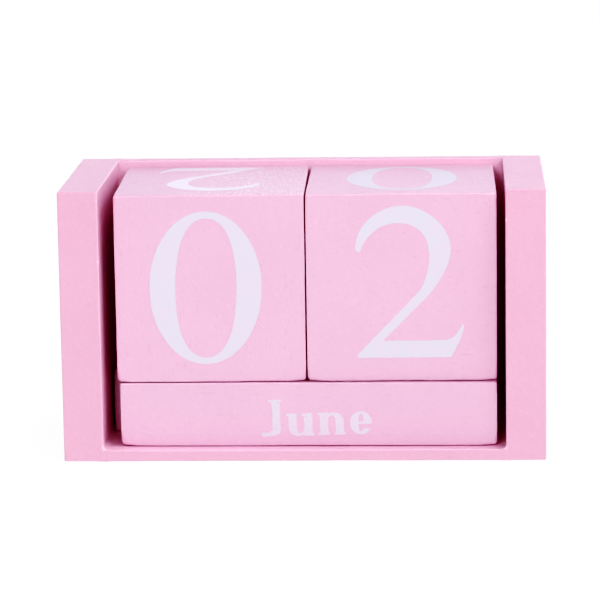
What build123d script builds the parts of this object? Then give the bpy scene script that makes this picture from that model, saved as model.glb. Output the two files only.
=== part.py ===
from build123d import *
import os

# A perpetual block calendar for a desk: a painted wooden tray open to the front and top, three square
# month bars lying side by side on its base, and two day cubes standing on the bars.
# Millimetres. +X is to the right, +Y to the back, +Z up. The origin is the bottom centre of the tray.

os.makedirs("parts", exist_ok=True)

# ---- Tray ----
tray_width = 127.0  # 5 inches over the side panels
tray_depth = 60.0
tray_height = 72.0
side_thickness = 10.5
back_thickness = 4.0
base_thickness = 3.0
tray_edge_radius = 0.4

inside_half = tray_width / 2 - side_thickness
front_y = -tray_depth / 2
inside_back_y = tray_depth / 2 - back_thickness
inside_depth = inside_back_y - front_y

# ---- Headless pins that hold the glued boards ----
pin_diameter = 0.8
pin_length = 18.0
pin_cover = 0.5  # filler and paint over each pin
side_pin_heights = (18.0, 36.0, 54.0)
base_pin_depths = (-20.0, 0.0, 18.0)
back_pin_offsets = (-36.0, 0.0, 36.0)
back_pin_length = 14.0

# ---- Loose blocks ----
cube_size = 50.0
cube_edge_radius = 0.5
bar_length = 99.5
bar_section = 17.0
bar_edge_radius = 0.5
lying_play = 0.12  # air under each layer, for paint and print
bar_play = 0.15  # air between neighbouring bars and behind the last

bar_bottom = base_thickness + lying_play
cube_bottom = bar_bottom + bar_section + lying_play
rear_bar_y = inside_back_y - bar_play - bar_section
bar_pitch = bar_section + bar_play

# Each loose block lies a little askew: its front left corner, and its turn about +Z in degrees.
cube_places = {
    "left_cube": (-49.4, front_y + 4.6, 1.05),
    "right_cube": (0.82, front_y + 5.25, 0.5),
}
bar_places = {
    "front_bar": (-48.75, rear_bar_y - 2 * bar_pitch, -0.4),
    "middle_bar": (-52.1, rear_bar_y - bar_pitch, 0.0),
    "rear_bar": (-50.5, rear_bar_y, 0.0),
}

# ---- Printing ----
ink_thickness = 0.04
digit_height = 41.0
x_height = 6.1
cap_height = 9.7
letter_stem = 2.2
letter_hair = 0.8
slab = 0.7  # thickness of a letter's serifs
slab_reach = 0.5  # how far a serif stands out past its stem
letter_gap = 1.0
round_fullness = 0.5523  # handle length, as a share of the radius, of a true ellipse
square_fullness = 0.64

arch_rise = 2.2

half_digit = digit_height / 2
half_stem = letter_stem / 2
first_stem = slab_reach + half_stem
stem_pitch = 4.1
round_middle = x_height / 2
round_half = x_height / 2 + 0.1  # round letters overshoot the line a little


# ======== Outlines shared by the digits and letters ========


def box_stroke(left, right, low, high, mode=Mode.ADD):
    """A straight upright or level stroke between four limits."""
    with Locations(((left + right) / 2, (low + high) / 2)):
        Rectangle(right - left, high - low, mode=mode)


def corners(*points, mode=Mode.ADD):
    """A straight-sided shape through its corners."""
    with BuildLine() as rim:
        Polyline(*points, close=True)
    add(make_face(rim.edges(), mode=Mode.PRIVATE), mode=mode)


def oval(x, y, half_width, half_height, fullness=round_fullness, mode=Mode.ADD):
    """An oval of four Bezier quarters about (x, y)."""
    with BuildLine() as rim:
        for side in (1, -1):
            for end in (1, -1):
                Bezier(
                    (x + side * half_width, y),
                    (x + side * half_width, y + end * half_height * fullness),
                    (x + side * half_width * fullness, y + end * half_height),
                    (x, y + end * half_height),
                )
    add(make_face(rim.edges(), mode=Mode.PRIVATE), mode=mode)


def bowl(x, y, half_width, half_height, stem, hair, cut_left=None, opening=None):
    """A round bowl, heavy at its sides and thin above and below.
    It is cut off left of cut_left, and open in the box opening gives: left, right, low and high."""
    with BuildSketch() as shape:
        oval(x, y, half_width, half_height)
        oval(x, y, half_width - stem, half_height - hair, square_fullness, mode=Mode.SUBTRACT)
        if cut_left is not None:
            box_stroke(x - half_width, cut_left, y - half_height, y + half_height, mode=Mode.SUBTRACT)
        if opening is not None:
            box_stroke(*opening, mode=Mode.SUBTRACT)
    add(shape.sketch)


def pen_stroke(*steps):
    """A curved stroke through (x, y, thickness) steps, cut straight at both ends."""
    with BuildLine() as route:
        Spline(*[(x, y) for x, y, _ in steps])
    path = route.edges()[0]
    left_side = []
    right_side = []
    for x, y, thickness in steps:
        way = path.tangent_at(Vector(x, y))
        reach = Vector(-way.Y, way.X) * thickness / 2
        left_side.append(Vector(x, y) + reach)
        right_side.append(Vector(x, y) - reach)
    with BuildLine() as rim:
        Spline(*left_side)
        Line(left_side[-1], right_side[-1])
        Spline(*right_side)
        Line(left_side[0], right_side[0])
    add(make_face(rim.edges(), mode=Mode.PRIVATE))


def ball(x, y, radius):
    """The round end of a thin stroke, or a dot."""
    with Locations((x, y)):
        Circle(radius)


# ======== Digits, centred on the origin, 41 mm high ========


def digit_0():
    half_height = half_digit - 0.15
    oval(0, 0, 14.75, half_height)
    oval(0.1, -0.05, 8.05, half_height - 1.8, square_fullness, mode=Mode.SUBTRACT)


def digit_1():
    foot_top = 1.3 - half_digit
    with BuildLine() as rim:
        Line((-3.2, -15.0), (-3.2, 12.6))
        Spline((-3.2, 12.6), (-4.6, 15.4), (-8.9, 13.9), tangents=((0, 1), (-1, -0.45)))
        Polyline((-8.9, 13.9), (-9.3, 15.2), (1.6, half_digit), (3.2, half_digit), (3.2, -15.0))
        Spline((3.2, -15.0), (4.6, -18.3), (8.6, foot_top), tangents=((0, -1), (1, 0)))
        Polyline((8.6, foot_top), (8.6, -half_digit), (-8.6, -half_digit), (-8.6, foot_top))
        Spline((-8.6, foot_top), (-4.6, -18.3), (-3.2, -15.0), tangents=((1, 0), (0, 1)))
    add(make_face(rim.edges(), mode=Mode.PRIVATE))


def digit_2():
    """A tapered start, a heavy bowl, a thin diagonal and a heavy foot with a pointed, upturned end."""
    start_outer = (-14.1, 8.5)
    start_inner = (-12.9, 8.1)
    foot_left = (-13.9, -19.3)
    neck_outer = (3.2, -5.1)
    neck_inner = (0.8, -4.0)
    heel = (-7.1, -15.5)
    toe_root = (8.6, -15.4)
    toe_tip = (13.8, -11.1)
    toe_outer = (14.2, -11.4)
    foot_right = (10.9, -19.7)
    with BuildLine() as rim:
        Spline(start_outer, (-12.1, 15.1), (-1.0, 20.4), (10.7, 10.2), (7.2, -0.4), neck_outer)
        Polyline(neck_outer, heel, toe_root)
        Spline(toe_root, toe_tip, tangents=((1, 0), (0.6, 1)))
        Line(toe_tip, toe_outer)
        Spline(toe_outer, foot_right, tangents=((-0.1, -1), (-0.5, -1)))
        Polyline(foot_right, (10.5, -20.0), (-13.7, -20.0), foot_left, neck_inner)
        Spline(neck_inner, (4.9, 3.9), (2.8, 13.7), (-3.9, 15.8), (-10.3, 12.6), start_inner)
        Line(start_inner, start_outer)
    add(make_face(rim.edges(), mode=Mode.PRIVATE))


def digit_3():
    waist = (-4.0, 2.6, 1.7)
    upper_turn = ((-6.4, 18.2, 3.0), (0.0, 18.9, 3.4), (6.4, 12.2, 6.4), (2.8, 4.8, 4.0))
    pen_stroke((-11.0, 12.6, 1.6), *upper_turn, waist)
    lower_turn = ((4.6, 0.6, 4.2), (8.6, -7.4, 7.0), (3.4, -16.6, 4.2))
    pen_stroke(waist, *lower_turn, (-4.4, -19.5, 1.9), (-10.6, -17.0, 1.8))
    ball(-10.2, -16.2, 2.2)


def digit_4():
    bar_top = -5.9
    bar_foot = -10.3
    stem_left = 1.8
    stem_right = 8.0
    with BuildSketch() as shape:
        corners(
            (stem_right, half_digit),
            (5.0, half_digit),
            (-14.0, bar_top - 1.0),
            (-14.0, bar_foot),
            (stem_left, bar_foot),
            (stem_left, -half_digit),
            (stem_right, -half_digit),
            (stem_right, bar_foot),
            (13.6, bar_foot),
            (13.6, bar_top),
            (stem_right, bar_top),
        )
        corners((stem_left, bar_top), (-11.2, bar_top), (stem_left, 13.0), mode=Mode.SUBTRACT)
    add(shape.sketch)


def digit_5():
    corners((-6.2, half_digit), (11.4, half_digit), (8.9, 15.2), (-8.0, 15.2))
    corners((-8.0, 15.2), (-6.2, 15.2), (-8.9, 4.0), (-10.3, 2.6))
    shoulder = ((-9.7, 2.9, 1.0), (-2.8, 4.2, 3.8), (6.0, -0.6, 5.6))
    lower_turn = ((8.4, -8.0, 7.0), (3.2, -16.6, 4.2), (-4.6, -19.5, 1.9), (-10.8, -17.0, 1.8))
    pen_stroke(*shoulder, *lower_turn)
    ball(-10.4, -16.2, 2.2)


def digit_6():
    pen_stroke((11.6, 20.0, 0.9), (3.4, 17.0, 2.6), (-4.8, 10.2, 5.0), (-9.6, 0.6, 6.6), (-10.6, -8.0, 6.6))
    bowl(0.1, -7.9, 13.9, 12.6, 6.6, 1.9)


def digit_7():
    bar_foot = 15.6
    with BuildLine() as rim:
        Polyline((-11.6, half_digit), (13.4, half_digit), (13.4, 19.2), (0.6, -half_digit))
        Polyline((0.6, -half_digit), (-3.6, -half_digit), (8.6, bar_foot), (-6.4, bar_foot))
        Spline((-6.4, bar_foot), (-13.0, 9.6), tangents=((-1, 0), (-0.4, -1)))
        Polyline((-13.0, 9.6), (-14.0, 9.9), (-11.6, half_digit))
    add(make_face(rim.edges(), mode=Mode.PRIVATE))


def digit_8():
    bowl(0.1, 10.6, 11.3, 9.9, 5.2, 1.9)
    bowl(0, -9.0, 13.3, 11.5, 6.4, 1.9)


# ======== Letters, standing on the line y = 0 from x = 0; each returns its width ========


def serif(stem_x, y, left=slab_reach, right=slab_reach):
    """A level serif across the end of a stem, its lower side at y."""
    box_stroke(stem_x - half_stem - left, stem_x + half_stem + right, y, y + slab)


def stem(stem_x, low, high):
    box_stroke(stem_x - half_stem, stem_x + half_stem, low, high)


def arch(outer_left, outer_right, inner_left, inner_right, spring, rise):
    """The curved shoulder that joins two stems at the height spring; a negative rise hangs below it."""
    inner_rise = abs(rise) - letter_hair
    far_side = sorted((spring, spring - rise))
    with BuildSketch() as shape:
        oval((outer_left + outer_right) / 2, spring, (outer_right - outer_left) / 2, abs(rise))
        oval(
            (inner_left + inner_right) / 2,
            spring,
            (inner_right - inner_left) / 2,
            inner_rise,
            square_fullness,
            mode=Mode.SUBTRACT,
        )
        box_stroke(outer_left, outer_right, *far_side, mode=Mode.SUBTRACT)
    add(shape.sketch)


def arched(height, stem_count):
    """n, m and h: an upright of this height, then an arch and an upright for each further stem."""
    spring = x_height - arch_rise
    stem(first_stem, 0, height)
    serif(first_stem, height - slab, right=0)
    serif(first_stem, 0, right=slab_reach * 0.8)
    for count in range(1, stem_count):
        stem_x = first_stem + count * stem_pitch
        last_x = stem_x - stem_pitch
        arch(last_x, stem_x + half_stem, last_x + half_stem, stem_x - half_stem, spring, arch_rise)
        stem(stem_x, 0, spring)
        serif(stem_x, 0, left=slab_reach * 0.8, right=slab_reach * 0.8)
    return stem_x + half_stem + slab_reach


def letter_n():
    return arched(x_height, 2)


def letter_m():
    return arched(x_height, 3)


def letter_h():
    return arched(cap_height, 2)


def letter_u():
    last_stem = first_stem + stem_pitch
    stem(first_stem, arch_rise, x_height)
    stem(last_stem, 0, x_height)
    inner_left = first_stem + half_stem
    inner_right = last_stem - half_stem
    arch(first_stem - half_stem, last_stem, inner_left, inner_right, arch_rise, -arch_rise)
    serif(first_stem, x_height - slab, right=0)
    serif(last_stem, x_height - slab, right=0)
    serif(last_stem, 0, left=0)
    return last_stem + half_stem + slab_reach


def tailed_stem(stem_x, height):
    """An upright that turns out to the right at its foot."""
    stem(stem_x, 1.8, height)
    pen_stroke(
        (stem_x, 2.6, letter_stem),
        (stem_x + 0.05, 1.5, letter_stem),
        (stem_x + 0.8, 0.45, 1.2),
        (stem_x + 2.1, 0.7, 0.6),
    )


def letter_a():
    turn = ((0.9, 4.6, 0.8), (1.6, 5.5, 0.9), (2.9, 5.5, 1.2))
    pen_stroke(*turn, (3.9, 4.2, letter_stem), (3.9, 3.0, letter_stem))
    ball(1.2, 4.5, 0.75)
    bowl(2.4, 1.75, 2.3, 1.85, 1.8, letter_hair * 0.8)
    tailed_stem(3.9, 3.6)
    return 5.9


def letter_b():
    stem(first_stem, 0, cap_height)
    serif(first_stem, cap_height - slab, right=0)
    bowl(3.9, round_middle, 3.0, round_half, letter_stem, letter_hair, cut_left=first_stem)
    return 6.9


def letter_c():
    mouth = (3.7, 6.2, 1.7, 4.2)
    bowl(round_middle, round_middle, 3.0, round_half, letter_stem, letter_hair, opening=mouth)
    ball(4.6, 4.4, 0.9)
    return 5.7


def letter_e():
    with BuildSketch() as shape:
        bowl(round_middle, round_middle, 2.9, round_half, letter_stem, letter_hair)
        box_stroke(1.5, 5.6, 2.7, 3.4)
        box_stroke(3.7, 6.2, 1.5, 2.7, mode=Mode.SUBTRACT)
    add(shape.sketch)
    return 5.9


def letter_g():
    bowl(2.9, 4.1, 2.5, 2.1, 1.7, letter_hair * 0.8)
    bowl(2.9, -0.9, 2.9, 1.75, 1.1, letter_hair * 0.8)
    pen_stroke((1.7, 2.3, 0.8), (0.9, 1.4, 0.9), (1.6, 0.7, 1.1), (3.4, 0.5, 1.0))
    pen_stroke((4.2, 5.1, 0.7), (4.9, 5.7, 0.8), (5.7, 5.6, 0.9))
    return 6.2


def letter_i():
    stem(first_stem, 0, x_height)
    serif(first_stem, x_height - slab, right=0)
    serif(first_stem, 0)
    ball(first_stem - 0.1, 8.5, 1.15)
    return 3.7


def letter_l():
    stem(first_stem, 0, cap_height)
    serif(first_stem, cap_height - slab, right=0)
    serif(first_stem, 0)
    return 3.7


def letter_o():
    bowl(round_middle, round_middle, round_middle, round_half, letter_stem, letter_hair)
    return 6.1


def letter_p():
    stem(first_stem, -2.7, x_height)
    serif(first_stem, x_height - slab, right=0)
    serif(first_stem, -2.7)
    bowl(3.9, round_middle, 3.0, round_half, letter_stem, letter_hair, cut_left=first_stem)
    return 6.9


def letter_r():
    stem(first_stem, 0, x_height)
    serif(first_stem, x_height - slab, right=0)
    serif(first_stem, 0, right=slab_reach * 1.3)
    pen_stroke((2.6, 3.6, 0.8), (3.3, 5.2, 1.0), (4.7, 5.5, 1.0))
    ball(4.8, 4.8, 0.95)
    return 5.7


def letter_s():
    pen_stroke(
        (4.1, 4.5, 0.6), (3.3, 5.6, 0.8), (2.3, 5.7, 0.8), (1.4, 4.6, 1.7), (2.4, 3.3, 1.9),
        (3.4, 1.7, 1.7), (2.4, 0.3, 0.8), (1.3, 0.5, 0.8), (0.5, 1.8, 0.6),
    )
    box_stroke(3.9, 4.5, 4.2, x_height)
    box_stroke(0.1, 0.7, 0, 2.1)
    return 4.8


def letter_t():
    tailed_stem(1.9, 7.4)
    box_stroke(0, 4.2, x_height - slab, x_height)
    return 4.1


def vee():
    """The two slanting strokes and serifs of v and y."""
    corners((0.7, x_height), (3.1, x_height), (4.6, 1.6), (3.5, -0.2))
    corners((3.5, -0.2), (3.9, 1.8), (5.6, x_height), (6.4, x_height), (4.0, -0.2))
    box_stroke(0, 3.9, x_height - slab, x_height)
    box_stroke(4.8, 7.2, x_height - slab, x_height)
    return 7.0


def letter_v():
    return vee()


def letter_y():
    pen_stroke((4.2, 0.7, 0.9), (3.5, -1.0, 1.0), (2.5, -2.2, 1.0), (1.3, -2.1, 0.9))
    ball(1.3, -1.7, 0.9)
    return vee()


def letter_cap_a():
    corners((0.9, 0), (1.8, 0), (5.0, cap_height), (4.2, cap_height))
    corners((4.2, cap_height), (5.6, cap_height), (9.3, 0), (6.6, 0))
    box_stroke(2.2, 7.0, 2.6, 3.4)
    box_stroke(0, 3.0, 0, slab)
    box_stroke(5.6, 10.1, 0, slab)
    return 10.0


def letter_cap_d():
    stem(first_stem, 0, cap_height)
    serif(first_stem, 0, right=0)
    serif(first_stem, cap_height - slab, right=0)
    bowl(3.4, cap_height / 2, 5.3, cap_height / 2, letter_stem + 0.2, letter_hair, cut_left=first_stem)
    return 8.8


def letter_cap_f():
    stem(first_stem, 0, cap_height)
    serif(first_stem, 0, right=slab_reach * 1.4)
    box_stroke(0, 7.4, cap_height - slab, cap_height)
    corners((7.4, cap_height), (7.4, 6.6), (6.8, 6.6), (6.0, cap_height - slab))
    box_stroke(first_stem, 5.0, 4.6, 5.4)
    box_stroke(4.9, 5.5, 3.6, 6.4)
    return 7.6


def letter_cap_j():
    top = cap_height + 0.3
    stem(4.2, 2.6, top)
    serif(4.2, top - slab, left=0.85)
    pen_stroke((4.2, 2.8, letter_stem), (3.7, 1.3, 1.9), (2.4, 0.7, 1.1), (0.8, 0.7, 1.1))
    ball(0.8, 0.7, 0.6)
    return 5.9


def letter_cap_m():
    corners((1.0, cap_height), (3.6, cap_height), (6.3, 3.2), (5.4, 0.4))
    corners((5.4, 0.4), (6.1, 3.6), (8.4, cap_height), (9.4, cap_height))
    box_stroke(1.2, 2.1, 0, cap_height)
    stem(9.6, 0, cap_height)
    box_stroke(0, 2.1, cap_height - slab, cap_height)
    box_stroke(0.2, 3.1, 0, slab)
    serif(9.6, 0)
    serif(9.6, cap_height - slab, left=0)
    return 11.5


def letter_cap_n():
    corners((1.0, cap_height), (3.5, cap_height), (8.7, 0.9), (8.7, 0), (7.8, 0), (1.2, 9.0))
    box_stroke(1.2, 2.1, 0, cap_height)
    box_stroke(7.8, 8.7, 0, cap_height)
    box_stroke(0, 2.1, cap_height - slab, cap_height)
    box_stroke(0.1, 3.2, 0, slab)
    box_stroke(6.7, 9.8, cap_height - slab, cap_height)
    return 9.8


def letter_cap_o():
    bowl(4.4, cap_height / 2, 4.4, cap_height / 2 + 0.1, letter_stem + 0.2, letter_hair)
    return 8.8


def letter_cap_s():
    pen_stroke(
        (5.8, 7.2, 0.7), (4.9, 8.8, 1.0), (3.4, 9.2, 1.0), (1.9, 7.5, 2.2), (3.4, 5.2, 2.6),
        (5.0, 2.6, 2.3), (3.3, 0.4, 1.0), (1.8, 0.8, 1.0), (0.7, 2.6, 0.7),
    )
    box_stroke(5.6, 6.3, 6.7, cap_height)
    box_stroke(0.2, 0.9, 0, 3.1)
    return 6.6


digits = [digit_0, digit_1, digit_2, digit_3, digit_4, digit_5, digit_6, digit_7, digit_8]
capitals = {
    "A": letter_cap_a,
    "D": letter_cap_d,
    "F": letter_cap_f,
    "J": letter_cap_j,
    "M": letter_cap_m,
    "N": letter_cap_n,
    "O": letter_cap_o,
    "S": letter_cap_s,
}
small_letters = {
    "a": letter_a,
    "b": letter_b,
    "c": letter_c,
    "e": letter_e,
    "g": letter_g,
    "h": letter_h,
    "i": letter_i,
    "l": letter_l,
    "m": letter_m,
    "n": letter_n,
    "o": letter_o,
    "p": letter_p,
    "r": letter_r,
    "s": letter_s,
    "t": letter_t,
    "u": letter_u,
    "v": letter_v,
    "y": letter_y,
}

# Words and digits are drawn once each and then laid on the faces.


def drawn_digit(value):
    with BuildSketch() as shape:
        digits[value]()
    return shape.sketch


def drawn_word(text):
    """A word in the slab-serif letters, centred on the middle of its own outline."""
    pen_x = 0
    glyphs = []
    for letter in text:
        draw = capitals[letter] if letter in capitals else small_letters[letter]
        with BuildSketch() as shape:
            width = draw()
        glyphs.append((pen_x, shape.sketch))
        pen_x += width + letter_gap
    with BuildSketch() as line:
        for start, glyph in glyphs:
            with Locations((start, 0)):
                add(glyph)
    middle = line.sketch.bounding_box().center()
    return line.sketch.moved(Location((-middle.X, -middle.Y)))


def block_plane(place, height):
    """The plane of a loose block's underside, at its front left corner."""
    x, y, turn = place
    return Plane(origin=(x, y, height), x_dir=Vector(1, 0, 0).rotate(Axis.Z, turn), z_dir=(0, 0, 1))


def face_plane(block, size, side):
    """The outward plane at the middle of one side of a block of this size, x running as its print reads."""
    length, depth, height = size
    middle = Vector(length / 2, depth / 2, height / 2)
    outward, reading = {
        "front": (Vector(0, -1, 0), Vector(1, 0, 0)),
        "back": (Vector(0, 1, 0), Vector(-1, 0, 0)),
        "left": (Vector(-1, 0, 0), Vector(0, -1, 0)),
        "right": (Vector(1, 0, 0), Vector(0, 1, 0)),
        "top": (Vector(0, 0, 1), Vector(1, 0, 0)),
        "bottom": (Vector(0, 0, -1), Vector(1, 0, 0)),
    }[side]
    reach = Vector(outward.X * length / 2, outward.Y * depth / 2, outward.Z * height / 2)
    on_block = Plane(origin=middle + reach, x_dir=reading, z_dir=outward)
    return Plane(block.location * on_block.location)


# ======== Tray: four glued and pinned boards ========

side_pin_depth = inside_back_y + back_thickness / 2
base_pin_height = base_thickness / 2

with BuildPart() as left_side_panel:
    with Locations((-tray_width / 2, front_y, 0)):
        Box(side_thickness, tray_depth, tray_height, align=(Align.MIN, Align.MIN, Align.MIN))
    fillet(left_side_panel.edges(), tray_edge_radius)

with BuildPart() as right_side_panel:
    with Locations((tray_width / 2, front_y, 0)):
        Box(side_thickness, tray_depth, tray_height, align=(Align.MAX, Align.MIN, Align.MIN))
    fillet(right_side_panel.edges(), tray_edge_radius)

with BuildPart() as base_board:
    with Locations((0, front_y, 0)):
        Box(2 * inside_half, inside_depth, base_thickness, align=(Align.CENTER, Align.MIN, Align.MIN))
    front_edges = base_board.edges().filter_by(Axis.X).group_by(Axis.Y)[0]
    fillet(front_edges, tray_edge_radius)

with BuildPart() as back_board:
    with Locations((0, inside_back_y, 0)):
        Box(2 * inside_half, back_thickness, tray_height, align=(Align.CENTER, Align.MIN, Align.MIN))
    top_edges = back_board.edges().filter_by(Axis.X).group_by(Axis.Z)[-1]
    fillet(top_edges, tray_edge_radius)


def side_pins(side):
    """The headless pins through one side panel into the back board's and the base board's ends."""
    outer_end = side * (tray_width / 2 - pin_cover)
    spots = [(outer_end, side_pin_depth, height) for height in side_pin_heights]
    spots += [(outer_end, depth, base_pin_height) for depth in base_pin_depths]
    with BuildPart() as pins:
        with Locations(*[Plane(origin=spot, z_dir=(-side, 0, 0)) for spot in spots]):
            Cylinder(pin_diameter / 2, pin_length, align=(Align.CENTER, Align.CENTER, Align.MIN))
    return pins


left_pins = side_pins(-1)
right_pins = side_pins(1)

with BuildPart() as back_pins:
    back_spots = [(offset, tray_depth / 2 - pin_cover, base_pin_height) for offset in back_pin_offsets]
    with Locations(*[Plane(origin=spot, z_dir=(0, -1, 0)) for spot in back_spots]):
        Cylinder(pin_diameter / 2, back_pin_length, align=(Align.CENTER, Align.CENTER, Align.MIN))

# Each pin fills its own hole in the boards it passes through.
for board, board_pins in (
    (left_side_panel, (left_pins,)),
    (right_side_panel, (right_pins,)),
    (base_board, (left_pins, right_pins, back_pins)),
    (back_board, (left_pins, right_pins, back_pins)),
):
    with board:
        for pins in board_pins:
            add(pins.part, mode=Mode.SUBTRACT)

left_side_panel.part.label = "left_side_panel"
export_step(left_side_panel.part, "parts/left_side_panel.step")
right_side_panel.part.label = "right_side_panel"
export_step(right_side_panel.part, "parts/right_side_panel.step")
base_board.part.label = "base_board"
export_step(base_board.part, "parts/base_board.step")
back_board.part.label = "back_board"
export_step(back_board.part, "parts/back_board.step")
left_pins.part.label = "left_pins"
export_step(left_pins.part, "parts/left_pins.step")
right_pins.part.label = "right_pins"
export_step(right_pins.part, "parts/right_pins.step")
back_pins.part.label = "back_pins"
export_step(back_pins.part, "parts/back_pins.step")

# ======== Day cubes: between them they make every date from 01 to 31, the 6 serving as the 9 ========

# What each side shows: the digit, its turn in degrees, and how far its middle lies off the face's middle.
cube_faces = {
    "left_cube": {
        "front": (0, -1.0, (-1.15, 0.25)),
        "top": (2, 180.0, (-1.3, 2.4)),
        "right": (1, 0.6, (0.4, 0.3)),
        "left": (3, 90.0, (0.5, -0.4)),
        "back": (4, 180.5, (0.8, 0.2)),
        "bottom": (5, -90.4, (-0.3, 0.6)),
    },
    "right_cube": {
        "front": (2, 0.0, (2.15, 1.3)),
        "top": (0, 0.0, (0.1, 1.0)),
        "right": (6, 0.5, (0.6, -0.2)),
        "left": (7, -90.0, (-0.4, 0.3)),
        "back": (8, 179.4, (-0.6, 0.4)),
        "bottom": (1, 90.6, (0.5, 0.2)),
    },
}

for name, place in cube_places.items():
    under = block_plane(place, cube_bottom)
    with BuildPart(under) as cube:
        Box(cube_size, cube_size, cube_size, align=(Align.MIN, Align.MIN, Align.MIN))
        fillet(cube.edges(), cube_edge_radius)
    cube.part.label = name
    export_step(cube.part, f"parts/{name}.step")

    with BuildPart() as cube_print:
        for side, (value, turn, shift) in cube_faces[name].items():
            with BuildSketch(face_plane(under, (cube_size, cube_size, cube_size), side)):
                with Locations(Location(shift, turn)):
                    add(drawn_digit(value))
            extrude(amount=ink_thickness)
    cube_print.part.label = f"{name}_print"
    export_step(cube_print.part, f"parts/{name}_print.step")

# ======== Month bars: four months each, one on each long side ========

bar_sides = ("front", "top", "back", "bottom")
bar_months = {
    "front_bar": ("June", "July", "August", "May"),
    "middle_bar": ("January", "February", "March", "April"),
    "rear_bar": ("September", "October", "November", "December"),
}
# Each bar's words run slightly uphill and off the middle: the turn in degrees and the shift.
word_places = {
    "front_bar": (1.7, (2.1, -0.75)),
    "middle_bar": (0.5, (-0.6, -0.3)),
    "rear_bar": (-0.4, (0.9, 0.2)),
}

for name, place in bar_places.items():
    word_turn, word_shift = word_places[name]
    under = block_plane(place, bar_bottom)
    with BuildPart(under) as bar:
        Box(bar_length, bar_section, bar_section, align=(Align.MIN, Align.MIN, Align.MIN))
        fillet(bar.edges(), bar_edge_radius)
    bar.part.label = name
    export_step(bar.part, f"parts/{name}.step")

    with BuildPart() as bar_print:
        for side, month in zip(bar_sides, bar_months[name]):
            with BuildSketch(face_plane(under, (bar_length, bar_section, bar_section), side)):
                with Locations(Location(word_shift, word_turn)):
                    add(drawn_word(month))
            extrude(amount=ink_thickness)
    bar_print.part.label = f"{name}_print"
    export_step(bar_print.part, f"parts/{name}_print.step")
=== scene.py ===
import math
import bmesh
import bpy
import numpy as np
from mathutils import Euler, Matrix, Vector


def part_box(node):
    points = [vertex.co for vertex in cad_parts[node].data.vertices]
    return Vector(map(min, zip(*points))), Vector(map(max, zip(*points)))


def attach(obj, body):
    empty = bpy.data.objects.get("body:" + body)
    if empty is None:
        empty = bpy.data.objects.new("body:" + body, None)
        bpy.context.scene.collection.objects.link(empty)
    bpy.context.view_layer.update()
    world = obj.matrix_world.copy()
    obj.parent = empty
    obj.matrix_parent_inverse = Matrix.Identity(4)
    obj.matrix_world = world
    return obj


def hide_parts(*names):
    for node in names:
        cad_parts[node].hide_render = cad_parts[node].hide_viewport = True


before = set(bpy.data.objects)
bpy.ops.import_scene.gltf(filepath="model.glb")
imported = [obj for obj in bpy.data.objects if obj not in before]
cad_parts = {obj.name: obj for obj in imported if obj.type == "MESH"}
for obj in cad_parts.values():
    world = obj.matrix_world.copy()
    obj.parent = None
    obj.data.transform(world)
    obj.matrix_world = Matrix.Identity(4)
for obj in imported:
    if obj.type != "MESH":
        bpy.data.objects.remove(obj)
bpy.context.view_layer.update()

# A perpetual block calendar in painted wood: a tray of four boards, three month bars lying on its base and
# two day cubes standing on the bars. The shapes below are worked out in millimetres and stored in metres.
MM = 0.001
TINY = 1e-6
RIM_CUTS = (0, 0.06, 0.13, 0.2, 0.28, 0.36, 0.45, 0.6, 0.8, 1.1, 1.4)  # over a rounded edge, from its brink
LEAST_CUT = 0.04  # cuts are at least this far apart on a face
SMOOTH_ANGLE = math.radians(38)


# ======== Unevenness ========
def ripple(seed, shortest, longest, count=16):
    """A smooth random function of place, from -1 to 1, with waves from shortest to longest in length."""
    random = np.random.default_rng(seed)
    way = random.normal(size=(count, 3))
    way /= np.linalg.norm(way, axis=1)[:, None]
    length = np.exp(random.uniform(math.log(shortest), math.log(longest), count))
    phase = random.uniform(0, 2 * math.pi, count)
    weight = length / length.max()
    weight /= math.sqrt((weight**2).sum())

    def at(points):
        waves = np.sin(points @ (way * (2 * math.pi / length)[:, None]).T + phase)
        return np.clip(waves @ weight, -1.5, 1.5) / 1.5

    return at


def ramp(value, low, high):
    """0 below low, 1 above high and smooth between them."""
    t = np.clip((value - low) / (high - low), 0, 1)
    return t * t * (3 - 2 * t)


# ======== Wooden blocks ========
def cuts(half, step, extra=()):
    """Where a block is cut along one axis: closely over its rounded edges, evenly between them."""
    rim = [r for r in RIM_CUTS if r < 0.8 * half]
    flat = half - rim[-1]
    count = max(1, round(2 * flat / step))
    even = [-flat + 2 * flat * k / count for k in range(1, count)]
    ends = [side * (half - r) for r in rim for side in (-1, 1)]
    places = sorted(even + ends + [e for e in extra if abs(e) < flat])
    kept = [places[0]]
    for place in places[1:]:
        if place - kept[-1] > LEAST_CUT or place in ends:
            kept.append(place)
    return np.array(kept)


def box_shell(ticks):
    """Points and outward quads of a box whose faces are cut along the ticks and joined at its edges."""
    points, quads, count = [], [], 0
    for axis in range(3):
        u, v = (axis + 1) % 3, (axis + 2) % 3
        across, along = np.meshgrid(ticks[u], ticks[v], indexing="ij")
        number = np.arange(across.size).reshape(across.shape)
        ring = [number[:-1, :-1], number[1:, :-1], number[1:, 1:], number[:-1, 1:]]
        for side in (-1, 1):
            face = np.zeros(across.shape + (3,))
            face[..., u] = across
            face[..., v] = along
            face[..., axis] = side * ticks[axis][-1]
            order = ring if side > 0 else ring[::-1]
            points.append(face.reshape(-1, 3))
            quads.append(count + np.stack([r.ravel() for r in order], axis=1))
            count += across.size
    points = np.concatenate(points)
    quads = np.concatenate(quads)
    _, first, same = np.unique(np.round(points, 5), axis=0, return_index=True, return_inverse=True)
    return points[first], same.ravel()[quads]


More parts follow.
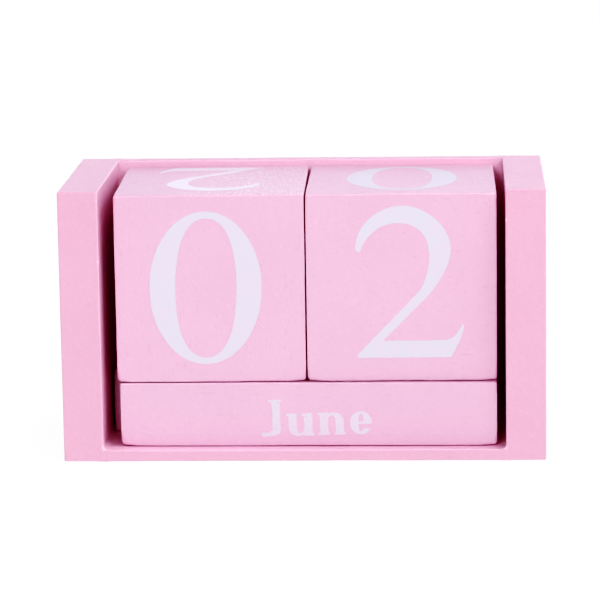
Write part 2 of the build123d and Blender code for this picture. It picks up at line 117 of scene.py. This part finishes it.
def round_off(points, half, radius):
    """Points of a sharp box moved onto one whose edges have each point's radius, and their normals."""
    inner = np.clip(points, -(half - radius[:, None]), half - radius[:, None])
    out = points - inner
    length = np.linalg.norm(out, axis=1)
    sharp = np.where(np.abs(points) > half - TINY, np.sign(points), 0)
    sharp /= np.linalg.norm(sharp, axis=1)[:, None]
    normal = np.where(length[:, None] > TINY, out / np.maximum(length, TINY)[:, None], sharp)
    return inner + normal * radius[:, None], normal


def add_piece(mesh, material, body, nodes):
    """A piece with a mesh's name, riding on a body and standing for CAD nodes."""
    mesh.shade_smooth()
    mesh.set_sharp_from_angle(angle=SMOOTH_ANGLE)
    mesh.materials.append(material)
    piece = bpy.data.objects.new(mesh.name, mesh)
    bpy.context.scene.collection.objects.link(piece)
    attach(piece, body)
    if nodes:
        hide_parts(*nodes)


def add_painted(name, points, faces, material, body, nodes, turn=None, **values):
    """A painted piece from points in millimetres; the values are one number for each point, for its paint."""
    mesh = bpy.data.meshes.new(name)
    mesh.from_pydata((points * MM).tolist(), [], [list(map(int, face)) for face in faces])
    if turn is not None:
        mesh.transform(turn)
    for key, value in values.items():
        mesh.attributes.new(key, "FLOAT", "POINT").data.foreach_set("value", value.astype(np.float32))
    add_piece(mesh, material, body, nodes)


def dents_at(points, dents):
    """How deep each point lies in the dents, each of which is a place, a reach and a depth."""
    depth = np.zeros(len(points))
    for place, reach, deep in dents:
        away = np.linalg.norm(points - np.array(place), axis=1)
        depth += deep * (1 - ramp(away, 0.15 * reach, reach))
    return depth


LEAN = 0.29  # how far the normal leans away from both faces in the middle of a rounded edge


def block_mesh(half, step, radius_at, sink_at, extra=((), (), ())):
    """Points, normals, quads and edge values of a block of wood, its faces sunk by sink_at(points)."""
    ticks = [cuts(h, step, e) for h, e in zip(half, extra)]
    points, quads = box_shell(ticks)
    radius = np.minimum(radius_at(points), 0.4 * half.min())
    place, normal = round_off(points, half, radius)
    place = place - normal * sink_at(points)[:, None]
    edge = np.clip((1 - np.abs(normal).max(axis=1)) / LEAN, 0, 1) * ramp(radius, 0.06, 0.3)
    return place, normal, quads, edge


# ======== Where the CAD blocks lie ========
def lying(node):
    """A block's middle, its half sizes in millimetres and its turn about +Z, from its CAD mesh."""
    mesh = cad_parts[node].data
    fronts = [p for p in mesh.polygons if p.normal.y < -0.9]
    widest = max(fronts, key=lambda p: p.area)
    turn = math.atan2(widest.normal.x, -widest.normal.y)
    spin = Matrix.Rotation(turn, 3, "Z")
    points = np.array([v.co for v in mesh.vertices]) @ np.array(spin)
    low, high = points.min(axis=0), points.max(axis=0)
    middle = spin @ Vector((low + high) / 2)
    return middle, (high - low) / 2 / MM, turn


def placing(middle, turn):
    """The matrix that puts a block made round the origin where its CAD block lies."""
    return Matrix.Translation(middle) @ Matrix.Rotation(turn, 4, "Z")


# ======== Materials ========
def colour(red, green, blue):
    """A shader colour from one on the usual scale from 0 to 255, none of it nearly black."""
    return tuple(((c / 255 + 0.055) / 1.055) ** 2.4 for c in (red, green, blue)) + (1,)


class Nodes:
    """A material's nodes, made and joined in short calls."""

    def __init__(self, name):
        self.material = bpy.data.materials.new(name)
        self.material.use_nodes = True
        self.tree = self.material.node_tree
        self.shader = self.tree.nodes["Principled BSDF"]
        self.place = self.tree.nodes.new("ShaderNodeTexCoord").outputs["Object"]

    def add(self, kind, inputs, **settings):
        node = self.tree.nodes.new("ShaderNode" + kind)
        for key, value in settings.items():
            setattr(node, key, value)
        for key, value in inputs.items():
            if isinstance(value, bpy.types.NodeSocket):
                self.tree.links.new(value, node.inputs[key])
            else:
                node.inputs[key].default_value = value
        return node

    def stored(self, name):
        """A value that the mesh keeps for each point."""
        return self.add("Attribute", {}, attribute_name=name).outputs["Fac"]

    def scaled(self, stretch):
        """Object coordinates, stretched so that one unit is that many millimetres along each axis."""
        scale = tuple(1 / (s * MM) for s in stretch)
        return self.add("Mapping", {"Vector": self.place, "Scale": scale}).outputs["Vector"]

    def noise(self, stretch, detail=2.0, roughness=0.5, warp=0.0):
        wanted = {"Vector": self.scaled(stretch), "Scale": 1.0, "Detail": detail, "Roughness": roughness}
        wanted["Distortion"] = warp
        return self.add("TexNoise", wanted).outputs["Fac"]

    def range(self, value, low, high, to_low=0.0, to_high=1.0):
        wanted = {"Value": value, "From Min": low, "From Max": high, "To Min": to_low, "To Max": to_high}
        return self.add("MapRange", wanted).outputs["Result"]

    def math(self, operation, first, second):
        return self.add("Math", {0: first, 1: second}, operation=operation).outputs["Value"]

    def mix(self, share, first, second):
        node = self.add("Mix", {0: share, 6: first, 7: second}, data_type="RGBA")
        return node.outputs[2]

    def on_lid(self, low, high, top):
        """1 on top of a cube, right of a place where it grows from 0 between low and high."""
        apart = self.add("SeparateXYZ", {"Vector": self.place})
        side = self.range(apart.outputs["X"], low * MM, high * MM)
        lid = self.range(apart.outputs["Z"], (top - 0.4) * MM, (top - 0.2) * MM)
        return self.math("MULTIPLY", side, lid)

    def bump(self, height, depth, below=None):
        wanted = {"Height": height, "Strength": 1.0, "Distance": depth * MM}
        if below is not None:
            wanted["Normal"] = below
        return self.add("Bump", wanted).outputs["Normal"]

    def finish(self, base, rough, normal, **fixed):
        self.tree.links.new(base, self.shader.inputs["Base Color"])
        self.tree.links.new(rough, self.shader.inputs["Roughness"])
        self.tree.links.new(normal, self.shader.inputs["Normal"])
        for key, value in fixed.items():
            self.shader.inputs[key.replace("_", " ")].default_value = value
        return self.material


PALE = colour(236, 202, 219)  # paler paint: flecks in the peel, and on edges both paint rubbed thin and a painted highlight
INSIDE_LIGHT = colour(237, 188, 212)  # painted light: faces turned into the tray and the corner beads are painted paler, as if lit more
PAINTED_GLINT = colour(252, 238, 248)  # painted highlight: bright specks of light on a lid's grainy paint
BARE = colour(248, 228, 230)  # the primer in a chip


def paint(name, main, deep, grain, wear_and_highlight, painted_sparkle=None):
    """Semi-gloss lacquer sprayed on wood: leathery with peel, with short open pores along the grain, a
    little dust and edges painted paler, partly as rubbed paint and partly as a painted highlight. Faces
    marked inside get paler paint as painted light, and on the part of a lid that on_lid is given it gets
    painted highlight specks."""
    n = Nodes(name)
    cloud = n.range(n.noise((26, 26, 26), 3.0), 0.35, 0.65)
    peel = n.noise((1.5, 1.5, 1.5), 2.0, 0.5, 0.8)
    fine = n.noise((0.7, 0.7, 0.7), 2.0, 0.6)
    pore = n.range(n.noise(grain, 2.0, 0.55, 0.3), 0.62, 0.72)
    ripples = n.noise((7, 7, 7), 1.0)
    base = n.mix(n.math("MULTIPLY", cloud, 0.25), main, deep)
    base = n.mix(n.math("MULTIPLY", pore, 0.65), base, deep)
    base = n.mix(n.range(peel, 0.58, 0.8, 0.0, 0.12), base, PALE)
    # Painted light: faces marked inside are painted paler, in place of light falling into the tray.
    base = n.mix(n.stored("inside"), base, INSIDE_LIGHT)
    # Edges painted paler: partly paint rubbed thin, partly a painted highlight along the rounded edge.
    worn_and_highlight = n.range(n.noise((2.4, 2.4, 2.4), 2.0), 0.3, 0.65, 0.2 * wear_and_highlight, wear_and_highlight)
    base = n.mix(n.math("MULTIPLY", n.stored("edge"), worn_and_highlight), base, PALE)
    dust = n.add("TexVoronoi", {"Vector": n.scaled((6.5, 6.5, 6.5)), "Scale": 1.0}).outputs["Distance"]
    base = n.mix(n.range(dust, 0.025, 0.045, 0.5, 0.0), base, deep)
    base = n.mix(n.stored("bare"), base, BARE)
    rough = n.range(peel, 0.3, 0.7, 0.28, 0.4)
    normal = n.bump(ripples, 0.06)
    normal = n.bump(peel, 0.14, normal)
    normal = n.bump(fine, 0.02, normal)
    normal = n.bump(pore, -0.02, normal)
    # Painted highlight: bright specks on part of the left cube's lid, painted into the base colour.
    if painted_sparkle:
        painted_glint_mask = n.range(n.noise((0.5, 0.85, 0.5), 2.0, 0.7), 0.5, 0.64)
        share = n.math("MULTIPLY", n.on_lid(*painted_sparkle), painted_glint_mask)
        base = n.mix(n.math("MULTIPLY", share, 0.6), base, PAINTED_GLINT)
        normal = n.bump(share, 0.04, normal)
    return n.finish(base, rough, normal, IOR=1.5, Specular_IOR_Level=0.6)


def ink(name, main, tint, under, holes, painted_sparkle=None):
    """White ink stamped on the paint: faintly mottled, with pinholes that show the paint under it, and
    with painted highlight specks where the paint under it has them."""
    n = Nodes(name)
    cloud = n.range(n.noise((3.2, 3.2, 3.2), 3.0, 0.6), 0.36, 0.66)
    speck = n.noise((0.32, 0.32, 0.32), 2.0, 0.6)
    base = n.mix(cloud, main, tint)
    base = n.mix(n.range(speck, holes, holes + 0.1, 0.0, 0.8), base, under)
    # Painted highlight: the ink on that part of the lid gets the same bright specks.
    if painted_sparkle:
        painted_glint_mask = n.range(speck, 0.3, 0.6, 0.1, 0.45)
        base = n.mix(n.math("MULTIPLY", n.on_lid(*painted_sparkle), painted_glint_mask), base, PAINTED_GLINT)
    rough = n.range(speck, 0.3, 0.7, 0.28, 0.42)
    normal = n.bump(speck, 0.012)
    return n.finish(base, rough, normal, IOR=1.5, Specular_IOR_Level=0.7)


def steel(name):
    """Drawn wire, as the headless pins are cut from."""
    n = Nodes(name)
    drawn = n.noise((3.0, 0.05, 0.05), 2.0, 0.6)
    base = n.mix(n.range(drawn, 0.3, 0.7), colour(150, 152, 156), colour(196, 198, 202))
    rough = n.range(drawn, 0.3, 0.7, 0.28, 0.45)
    return n.finish(base, rough, n.bump(drawn, 0.004), Metallic=1.0)


# The grain of each board and block is the length of its pores along x, y and z.
tray_looks = (colour(218, 166, 191), colour(210, 155, 182))
cube_looks = (colour(218, 174, 199), colour(209, 163, 189))
bar_looks = (colour(218, 175, 200), colour(209, 163, 190))
digit_looks = (colour(205, 200, 215), colour(210, 197, 213), colour(219, 175, 202), 0.72)
word_looks = (colour(209, 200, 215), colour(212, 196, 212), colour(219, 176, 202), 0.55)
left_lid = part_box("left_cube")[1].z / MM

# Each paint's edge value sets how much paler its edges are painted, as rubbed paint and painted highlight.
tray_paint = paint("tray_paint", *tray_looks, grain=(4.5, 0.5, 0.5), wear_and_highlight=0.1)
side_paint = paint("side_paint", *tray_looks, grain=(0.5, 4.5, 0.5), wear_and_highlight=0.1)
cube_paint = paint("cube_paint", *cube_looks, grain=(2.0, 0.8, 0.6), wear_and_highlight=0.18)
# The left cube's paint carries painted highlight specks on its lid.
left_cube_paint = paint(
    "left_cube_paint", *cube_looks, grain=(0.6, 0.8, 2.6), wear_and_highlight=0.18, painted_sparkle=(-38, -16, left_lid)
)
bar_paint = paint("bar_paint", *bar_looks, grain=(4.0, 0.5, 0.45), wear_and_highlight=0.3)
digit_ink = ink("digit_ink", *digit_looks)
# The left cube's digits carry painted highlight specks on its lid.
left_digit_ink = ink("left_digit_ink", *digit_looks, painted_sparkle=(-49, -47, left_lid))
word_ink = ink("word_ink", *word_looks)
wire = steel("pin_wire")

# ======== Tray ========
side_low, side_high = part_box("right_side_panel")
base_low, base_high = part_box("base_board")
back_low, back_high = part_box("back_board")
inside_x = side_low.x / MM  # the panels' inner faces
floor_z = base_high.z / MM  # the base board's upper face
back_y = back_low.y / MM  # the back board's front face
front_y = side_low.y / MM
top_z = side_high.z / MM

EDGE = 0.42  # radius of the tray's edges
SEAM = 0.12  # radius where two boards meet under the paint, behind and below
BARE_DEPTH = 0.12  # how deep a chip goes before it has no paint
TRAY_SINK = 0.03  # how far the boards' faces lie under the CAD's on average
AT_CORNER = (1.0, 1.6)  # how far a joint reaches from the panels' inner faces, fully and at all
AT_FRONT = (2, 3)  # how far a joint at the front reaches back, fully and at all
tray_wave = ripple(11, 9, 40)
tray_rim = ripple(12, 3, 14)


def near(value, target, low, high):
    """1 where value is within low of target, 0 beyond high."""
    return 1 - ramp(np.abs(value - target), low, high)


def tray_radius(middle, joints):
    """The edge radius over a board: uneven, and hardly any where another board meets it."""

    def at(points):
        place = points + middle
        radius = EDGE * (1 + 0.3 * tray_rim(place))
        for joint, left in joints:
            share = joint(place)
            radius = radius * (1 - share) + left * share
        return radius

    return at


def tray_sink(middle, dents):
    """How far a board's faces are sunk: wavy, with dents, but not where another board meets it."""

    def at(points):
        place = points + middle
        free = ramp(np.abs(np.abs(place[:, 0]) - inside_x), 0.5, 5)
        free = free * np.where(place[:, 2] < floor_z + 1, ramp(np.abs(place[:, 1] - back_y), 0.5, 4), 1)
        return TRAY_SINK * free * (1 + tray_wave(place)) + dents_at(place, dents)

    return at


def board(node, material, inward, joints, dips=(), chips=(), extra=((), (), ())):
    """A board of the tray. Its face to the inside of the tray, the way inward points, is painted paler as
    painted light.
    """
    low, high = (np.array(v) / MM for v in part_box(node))
    middle, half = (low + high) / 2, (high - low) / 2
    extra = [[e - m for e in places] for places, m in zip(extra, middle)]
    sink = tray_sink(middle, [*dips, *chips])
    points, normal, quads, edge = block_mesh(half, 1.2, tray_radius(middle, joints), sink, extra)
    points = points + middle
    # Painted light: the faces turned into the tray get the paler paint.
    inside = ramp(normal @ np.array(inward), 0.5, 0.9)
    bare = np.clip(dents_at(points, chips) / BARE_DEPTH, 0, 1)
    values = {"edge": edge, "inside": inside, "bare": bare}
    add_painted(node + "_wood", points, quads, material, "tray", (node,), **values)


def around(places, reach=1.1, steps=4):
    """Extra cuts round each place, so that a small dent has a shape."""
    return [p + reach * k / steps for p in places for k in range(-steps, steps + 1)]


# The pins' ends show only as faint dips in the filler over them, this wide and this deep.
DIP = (0.8, 0.1)
pin_heights = (18.0, 36.0, 54.0)
base_pins = (-20.0, 0.0, 18.0)
back_pins = (-36.0, 0.0, 36.0)
rear_y = back_high.y / MM
behind = (back_y + rear_y) / 2
below = floor_z / 2
outer_x = side_high.x / MM

# Nicks in the panels' inner front edges: how far down from the top, how wide and how deep.
nicks = {-1: [(2.3, 0.5, 0.2), (18.4, 0.5, 0.16)], 1: [(8.1, 0.6, 0.3)]}

for side, panel in ((-1, "left_side_panel"), (1, "right_side_panel")):
    inner = side * inside_x
    dips = [((side * outer_x, behind, z), *DIP) for z in pin_heights]
    dips += [((side * outer_x, y, below), *DIP) for y in base_pins]
    chips = [((inner, front_y, top_z - down), reach, deep) for down, reach, deep in nicks[side]]
    chip_heights = around([top_z - down for down, _, _ in nicks[side]], 0.8, 5)

    def on_inner(place, inner=inner):
        return near(place[:, 0], inner, *AT_CORNER)

    def front_joint(place, on_inner=on_inner):
        low = 1 - ramp(place[:, 2], floor_z - 0.1, floor_z + 0.15)
        return on_inner(place) * low * near(place[:, 1], front_y, *AT_FRONT)

    def back_joint(place, on_inner=on_inner):
        return on_inner(place) * ramp(place[:, 1], back_y - 0.15, back_y + 0.1)

    def bottom_joint(place, on_inner=on_inner):
        low = 1 - ramp(place[:, 2], 0.6, 1.2)
        return on_inner(place) * low * ramp(place[:, 1], front_y + 2, front_y + 4)

    board(
        panel,
        side_paint,
        (-side, 0, 0),
        [(front_joint, 0.0), (back_joint, SEAM), (bottom_joint, SEAM)],
        dips,
        chips,
        ((), around(base_pins) + around([behind]), around(pin_heights) + around([below]) + chip_heights),
    )


def at_panels(place):
    return near(np.abs(place[:, 0]), inside_x, *AT_CORNER)


def front_ends(place):
    return at_panels(place) * near(place[:, 1], front_y, *AT_FRONT)


def back_foot(place):
    return near(place[:, 2], back_low.z / MM, 1, 2)


board("base_board", tray_paint, (0, 0, 1), [(at_panels, SEAM), (front_ends, 0.0)])
board(
    "back_board",
    tray_paint,
    (0, -1, 0),
    [(at_panels, SEAM), (back_foot, SEAM)],
    [((x, rear_y, below), *DIP) for x in back_pins],
    extra=(around(back_pins), (), around([below])),
)


BEAD_ENDS = 6  # steps over a bead's rounded end
BEAD_ARC = 8  # steps over its hollow
BEAD_STEP = 1.5
BEAD_ROOT = 0.3  # how far it reaches into the boards


def bead(name, corner, first, second, along, length, radius, rounded_start, rounded_end):
    """The paint in an inside corner, as a hollow round whose ends open out like the edges beside them."""
    corner, first, second, along = (np.array(v, float) for v in (corner, first, second, along))
    angles = [math.radians(90 * k / BEAD_ENDS) for k in range(1, BEAD_ENDS + 1)]
    turned = [(EDGE * (1 - math.sin(a)), EDGE * (1 - math.cos(a))) for a in angles]
    count = max(2, round(length / BEAD_STEP))
    start, stop = (EDGE if rounded_start else 0), (length - EDGE if rounded_end else length)
    stations = [(start + (stop - start) * k / count, 0.0) for k in range(count + 1)]
    if rounded_start:
        stations = turned[::-1] + stations
    if rounded_end:
        stations += [(length - reach, opened) for reach, opened in turned]
    points = []
    for reach, opened in stations:
        centre = corner + radius * (first + second) + along * reach
        swing = radius + opened
        for k in range(BEAD_ARC + 1):
            angle = math.radians(90 * k / BEAD_ARC)
            points.append(centre - swing * (math.cos(angle) * first + math.sin(angle) * second))
        points.append(corner + along * reach - (opened + BEAD_ROOT) * (first + second))
    row = BEAD_ARC + 2
    rows = len(stations)
    faces = []
    for i in range(rows - 1):
        for k in range(row):
            a, b = i * row + k, i * row + (k + 1) % row
            faces.append([a, b, b + row, a + row])
    faces.append(list(range(row))[::-1])
    faces.append([(rows - 1) * row + k for k in range(row)])
    if np.dot(np.cross(first, second), along) < 0:
        faces = [f[::-1] for f in faces]
    # The bead is painted paler all over as painted light, like the faces inside the tray.
    add_painted(name, np.array(points), faces, tray_paint, "tray", (), inside=np.ones(len(points)))


HIDE = 0.02  # how far a bead's end stays behind the boards' faces
foot_round = {-1: 1.5, 1: 1.3}  # the left and the right bead's radius on the floor
for side, label in ((-1, "left"), (1, "right")):
    inner = side * inside_x
    bead(
        f"{label}_floor_bead", (inner, front_y + HIDE, floor_z), (-side, 0, 0), (0, 0, 1), (0, 1, 0),
        back_y - front_y, foot_round[side], True, False,
    )
    bead(
        f"{label}_back_bead", (inner, back_y, floor_z), (-side, 0, 0), (0, -1, 0), (0, 0, 1),
        top_z - floor_z - HIDE, 0.6, False, True,
    )
bead(
    "back_floor_bead", (-inside_x, back_y, floor_z), (0, -1, 0), (0, 0, 1), (1, 0, 0),
    2 * inside_x, 0.3, False, False,
)

# ======== Cubes and bars ========
# Each block's paint, seed, edge radius and the deepest its faces lie under the CAD's, then the radius of its
# front corners, left or right (-1 or 1) and low or high (-1 or 1). A corner's radius holds up to the first
# reach and fades to the edge's at the second.
loose = {
    "left_cube": (left_cube_paint, 21, 0.45, 0.05, {(-1, -1): 1.3, (1, -1): 1.1, (-1, 1): 0.8, (1, 1): 0.6}),
    "right_cube": (cube_paint, 22, 0.45, 0.05, {(-1, -1): 1.25, (1, -1): 1.0, (-1, 1): 0.8, (1, 1): 0.9}),
    "front_bar": (bar_paint, 23, 0.32, 0.04, {(-1, -1): 1.3, (1, -1): 1.1, (-1, 1): 0.6, (1, 1): 0.7}),
    "middle_bar": (bar_paint, 24, 0.45, 0.05, {(-1, -1): 0.6, (1, -1): 0.7, (-1, 1): 0.9, (1, 1): 0.5}),
    "rear_bar": (bar_paint, 25, 0.45, 0.05, {(-1, -1): 0.5, (1, -1): 0.8, (-1, 1): 0.6, (1, 1): 0.7}),
}
CORNER_REACH = (1.2, 4.5)
blocks = {}
for node, (material, seed, radius, depth, soft) in loose.items():
    middle, half, turn = lying(node)
    wave, fine, rim = ripple(seed, 8, 30), ripple(seed + 100, 3, 9), ripple(seed + 200, 3.5, 16)

    def radius_at(points, radius=radius, rim=rim, half=half, soft=soft):
        found = radius * (1 + 0.35 * rim(points) + 0.3 * ramp(points[:, 2] / half[2], 0.9, 1))
        for (side, level), wider in soft.items():
            away = np.linalg.norm(points - half * (side, -1, level), axis=1)
            found = np.maximum(found, found + (wider - found) * (1 - ramp(away, *CORNER_REACH)))
        return found

    def sink(points, wave=wave, fine=fine, depth=depth):
        return depth * 0.5 * (1 + 0.75 * wave(points) + 0.25 * fine(points))

    points, _, quads, edge = block_mesh(half, 1.0, radius_at, sink)
    at = placing(middle, turn)
    add_painted(node + "_wood", points, quads, material, node, (node,), at, edge=edge)
    blocks[node] = (half, at, sink)


# ======== Printing ========
INK_ROOT = 0.03  # how far the ink reaches into the wood
INK_GRID = 1.3  # how closely the ink is cut to follow the wood
ON_CUT = 1e-5  # a point as near as this to a cut lies on it
WELD = 1e-4  # points as near as this to each other become one


def name_seed(name):
    return sum((i + 1) * ord(c) for i, c in enumerate(name))


def flat_ink(places, triangles):
    """The triangles of one face's print, laid flat and joined."""
    bm = bmesh.new()
    made = {}
    for triangle in triangles:
        ring = []
        for i in triangle:
            key = (round(places[i, 0], 4), round(places[i, 1], 4))
            if key not in made:
                made[key] = bm.verts.new((*key, 0))
            ring.append(made[key])
        if len(set(ring)) == 3 and bm.faces.get(ring) is None:
            bm.faces.new(ring)
    return bm


def stamp_edge(bm, jitter, rough, level):
    """Divides the outline finely and moves it a little in and out, as ink spreads."""
    for length in (1.0, 0.28):
        rims = [e for e in bm.edges if e.is_boundary and e.calc_length() > length]
        groups = {}
        for e in rims:
            groups.setdefault(min(12, int(e.calc_length() / length)), []).append(e)
        for count, edges in groups.items():
            bmesh.ops.subdivide_edges(bm, edges=edges, cuts=count)
    rims = [v for v in bm.verts if v.is_boundary]
    moves = {}
    places = np.array([(v.co.x, v.co.y, level) for v in rims])
    amount = jitter * rough(places)
    for v, far in zip(rims, amount):
        ends = [e.other_vert(v).co for e in v.link_edges if e.is_boundary]
        if len(ends) != 2:
            continue
        along = ends[1] - ends[0]
        if along.length > TINY:
            moves[v] = Vector((along.y, -along.x, 0)).normalized() * far
    for v, move in moves.items():
        v.co += move


def cut_up(bm):
    """Cuts the flat ink along a grid, so that it can follow the wood under it."""
    bmesh.ops.triangulate(bm, faces=bm.faces)
    low = [min(v.co[k] for v in bm.verts) for k in range(2)]
    high = [max(v.co[k] for v in bm.verts) for k in range(2)]
    for k, normal in enumerate((Vector((1, 0, 0)), Vector((0, 1, 0)))):
        place = math.ceil(low[k] / INK_GRID) * INK_GRID
        while place < high[k]:
            everything = bm.verts[:] + bm.edges[:] + bm.faces[:]
            bmesh.ops.bisect_plane(bm, geom=everything, plane_co=normal * place, plane_no=normal, dist=ON_CUT)
            place += INK_GRID
    bmesh.ops.remove_doubles(bm, verts=bm.verts, dist=WELD)


def solid_ink(bm, axis, side, half, sink, thick):
    """Gives the flat ink its thickness and lays it on the wood's face."""
    lower = list(bm.verts)
    grown = bmesh.ops.extrude_face_region(bm, geom=bm.faces[:], use_keep_orig=True)
    upper = [g for g in grown["geom"] if isinstance(g, bmesh.types.BMVert)]
    u, v = (axis + 1) % 3, (axis + 2) % 3
    for verts, height in ((lower, -INK_ROOT), (upper, thick)):
        places = np.zeros((len(verts), 3))
        places[:, u] = [p.co.x for p in verts]
        places[:, v] = [p.co.y for p in verts]
        places[:, axis] = side * half[axis]
        level = half[axis] + height - sink(places)
        places[:, axis] = side * level
        for p, place in zip(verts, places * MM):
            p.co = place
    bmesh.ops.recalc_face_normals(bm, faces=bm.faces)


def print_piece(node, half, at, sink, material, jitter, jitter_wave):
    """The ink on a block, remade from its CAD print so that it follows the uneven wood."""
    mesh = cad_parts[node + "_print"].data
    back = np.array(at.inverted())
    flat = np.array([v.co for v in mesh.vertices])
    flat = (flat @ back[:3, :3].T + back[:3, 3]) / MM
    mesh.calc_loop_triangles()
    corners = np.array([t.vertices[:] for t in mesh.loop_triangles])
    thick = np.abs(flat).max(axis=0) - half
    whole = bmesh.new()
    rough = ripple(name_seed(node), *jitter_wave, count=24)
    for axis in range(3):
        for side in (-1, 1):
            height = side * flat[:, axis] - half[axis]
            on_top = height > 0.6 * thick[axis]
            picked = corners[on_top[corners].all(axis=1)]
            if not len(picked):
                continue
            bm = flat_ink(flat[:, [(axis + 1) % 3, (axis + 2) % 3]], picked)
            stamp_edge(bm, jitter, rough, side * half[axis])
            cut_up(bm)
            solid_ink(bm, axis, side, half, sink, thick[axis])
            part = bpy.data.meshes.new("part")
            bm.to_mesh(part)
            bm.free()
            whole.from_mesh(part)
            bpy.data.meshes.remove(part)
    made = bpy.data.meshes.new(node + "_ink")
    whole.to_mesh(made)
    whole.free()
    made.transform(at)
    add_piece(made, material, node, (node + "_print",))


for node, (half, at, sink) in blocks.items():
    if node.endswith("cube"):
        digits = left_digit_ink if node == "left_cube" else digit_ink
        print_piece(node, half, at, sink, digits, 0.07, (0.6, 3.5))
    else:
        print_piece(node, half, at, sink, word_ink, 0.13, (0.45, 1.8))

for node in ("left_pins", "right_pins", "back_pins"):
    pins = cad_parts[node]
    pins.data.materials.clear()
    pins.data.materials.append(wire)

# ======== Camera ========
# Its place, turn and lens were solved from the corners of the tray, cubes and bar seen in perspective.
camera_data = bpy.data.cameras.new("camera")
camera_data.sensor_width = 36
camera_data.lens = 193.18
camera = bpy.data.objects.new("camera", camera_data)
camera.location = (0.0410, -0.85295, 0.20069)
camera.rotation_euler = Euler((math.radians(79.174), math.radians(0.8634), math.radians(2.7238)), "XYZ")
bpy.context.scene.collection.objects.link(camera)
bpy.context.scene.camera = camera

# ======== Floor and light ========
FLOOR_REACH = 6.0
FLOOR_GAP = 0.00002
floor_corners = [(x * FLOOR_REACH, y * FLOOR_REACH, 0) for x, y in ((-1, -1), (1, -1), (1, 1), (-1, 1))]
floor_mesh = bpy.data.meshes.new("floor")
floor_mesh.from_pydata(floor_corners, [], [(0, 1, 2, 3)])
floor = bpy.data.objects.new("floor", floor_mesh)
floor.location.z = -FLOOR_GAP
bpy.context.scene.collection.objects.link(floor)
sheet = Nodes("floor_paper")
tone = sheet.mix(sheet.noise((60, 60, 60), 2.0), colour(97, 97, 97), colour(99, 99, 99))
rough = sheet.range(sheet.noise((40, 40, 40)), 0, 1, 0.75, 0.85)
normal = sheet.bump(sheet.noise((2, 2, 2)), 0.01)
glow = {"Emission_Color": (1, 1, 1, 1), "Emission_Strength": 0.9}
floor_mesh.materials.append(sheet.finish(tone, rough, normal, Specular_IOR_Level=0.1, **glow))

# A dim room all round, with a pale backdrop low down behind the object.
ROOM_LIGHT = 0.25
world = bpy.data.worlds.new("studio")
bpy.context.scene.world = world
world.use_nodes = True
sky = world.node_tree
way = sky.nodes.new("ShaderNodeTexCoord")
height = sky.nodes.new("ShaderNodeSeparateXYZ")
lit = sky.nodes.new("ShaderNodeMath")
lit.operation = "MULTIPLY_ADD"
lit.inputs[2].default_value = ROOM_LIGHT
sky.links.new(way.outputs["Generated"], height.inputs["Vector"])
for term, (axis, ends) in enumerate((("Z", (0.1, 0.5, 1.0, 0.0)), ("Y", (0.2, 0.6, 0.0, 1.3)))):
    share = sky.nodes.new("ShaderNodeMapRange")
    for socket, value in zip(("From Min", "From Max", "To Min", "To Max"), ends):
        share.inputs[socket].default_value = value
    sky.links.new(height.outputs[axis], share.inputs["Value"])
    sky.links.new(share.outputs["Result"], lit.inputs[term])
sky.links.new(lit.outputs["Value"], sky.nodes["Background"].inputs["Strength"])
sky.nodes["Background"].inputs["Color"].default_value = (0.95, 0.95, 1.08, 1)


# Each rectangular lamp's place, size and power, and whether glossy paint mirrors it. It doesn't mirror the
# low ones, because their glare on the lids would blind a camera opposite.
lamps = {
    "top_box": ((0.3, -0.12, 1.5), (0.7, 0.7), 7.8, True),
    "right_top_box": ((1.06, -0.05, 1.1), (0.2, 0.6), 6, True),
    "rear_left_box": ((-1.15, 0.96, 0.35), (0.5, 0.5), 4, False),
    "rear_right_box": ((1.15, 0.96, 0.35), (0.5, 0.5), 4, False),
    "left_high_box": ((-0.608, -0.869, 1.097), (0.6, 0.6), 3.2, True),
    "right_high_box": ((0.709, -0.788, 1.097), (0.6, 0.6), 5.4, True),
    "right_box": ((0.401, -1.399, 0.399), (0.35, 0.35), 4.3, False),
    "left_box": ((-0.177, -1.445, 0.399), (0.25, 0.35), 6.0, False),
}
target = Vector((0, 0, 0.036))
for name, (place, size, power, mirrored) in lamps.items():
    data = bpy.data.lights.new(name, "AREA")
    data.shape = "RECTANGLE"
    data.size, data.size_y = size
    data.energy = power
    lamp = bpy.data.objects.new(name, data)
    lamp.location = place
    lamp.rotation_euler = (target - Vector(place)).to_track_quat("-Z", "Y").to_euler()
    lamp.visible_glossy = mirrored
    bpy.context.scene.collection.objects.link(lamp)

# The photograph's dark tones are deep and red: the toes of the red, green and blue curves.
view = bpy.context.scene.view_settings
view.view_transform = "Standard"
view.look = "None"
view.exposure = 0
view.gamma = 1
view.use_curve_mapping = True
toes = (
    ((0.05, 0.02), (0.12, 0.07), (0.25, 0.2), (0.45, 0.44)),
    ((0.05, 0.0025), (0.085, 0.0097), (0.118, 0.033), (0.155, 0.063), (0.25, 0.175), (0.45, 0.44)),
    ((0.063, 0.006), (0.095, 0.0137), (0.136, 0.033), (0.173, 0.076), (0.233, 0.135), (0.45, 0.43)),
)
for channel, toe in enumerate(toes):
    for place in toe:
        view.curve_mapping.curves[channel].points.new(*place)
view.curve_mapping.update()
